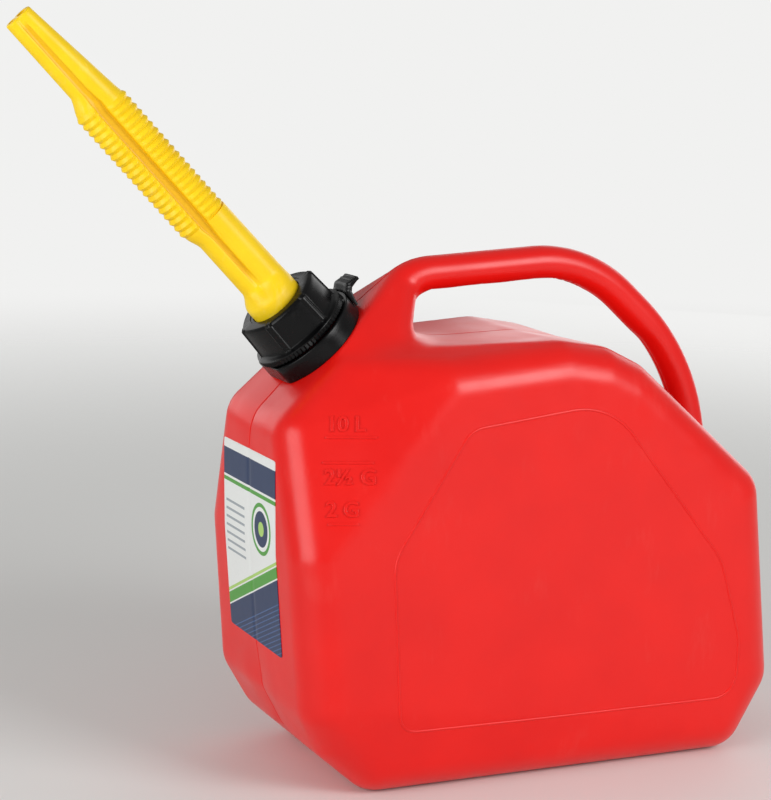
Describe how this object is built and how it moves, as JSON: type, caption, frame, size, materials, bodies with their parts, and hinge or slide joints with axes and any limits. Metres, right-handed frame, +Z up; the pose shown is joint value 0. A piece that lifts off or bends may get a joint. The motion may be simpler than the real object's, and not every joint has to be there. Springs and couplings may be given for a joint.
{
  "type": "fuel can",
  "caption": "Rounded plastic fuel can with an integral carrying handle, a slanted neck with lock ring and screw collar, and a flexible ribbed pouring spout.",
  "frame": {"origin": "centre of the flat base, on the surface that the can stands on", "axes": "+Z up; the spout points towards -X; the can is symmetric about y = 0"},
  "size_m": [0.4791, 0.1628, 0.4625],
  "materials": {
    "red_hdpe": "blow-moulded polyethylene, satin",
    "black_plastic": "moulded, fine texture",
    "yellow_pe": "moulded, satin",
    "black_rubber": "matt",
    "label_film": "printed film"
  },
  "bodies": {
    "can": {"can_body": "red_hdpe", "can_neck": "red_hdpe", "can_handle": "red_hdpe", "lock_ring": "black_plastic", "front_label": "label_film"},
    "tab": {"release_tab": "black_plastic"},
    "carrier": {"spout_gasket": "black_rubber"},
    "collar": {"screw_collar": "black_plastic"},
    "spout": {"spout_base": "yellow_pe", "spout_bellows": "yellow_pe"},
    "nozzle": {"spout_nozzle": "yellow_pe"}
  },
  "joints": [
    {"name": "spout_lift", "type": "slide", "parent": "can", "child": "carrier", "axis": [-0.682, 0, 0.7314], "range_m": [0, 0.009]},
    {"name": "collar_turn", "type": "hinge", "parent": "carrier", "child": "collar", "pos_m": [-0.13844, 0, 0.27933], "axis": [-0.682, 0, 0.7314], "range_deg": [0, 540.1]},
    {"name": "spout_swivel", "type": "hinge", "parent": "carrier", "child": "spout", "pos_m": [-0.15208, 0, 0.29395], "axis": [-0.682, 0, 0.7314], "continuous": true},
    {"name": "spout_bend", "type": "hinge", "parent": "spout", "child": "nozzle", "pos_m": [-0.22846, 0, 0.37587], "axis": [0, 1, 0], "range_deg": [-40, 40], "stiffness_Nm_per_rad": 0.6, "deforming": ["spout_bellows"]},
    {"name": "tab_release", "type": "hinge", "parent": "can", "child": "tab", "pos_m": [-0.10131, 0, 0.29208], "axis": [0, 1, 0], "range_deg": [0, 12], "stiffness_Nm_per_rad": 0.3}
  ],
  "couplings": [
    {"joint": "collar_turn", "follows": "spout_lift", "rad_per_m": 1047.2}
  ]
}
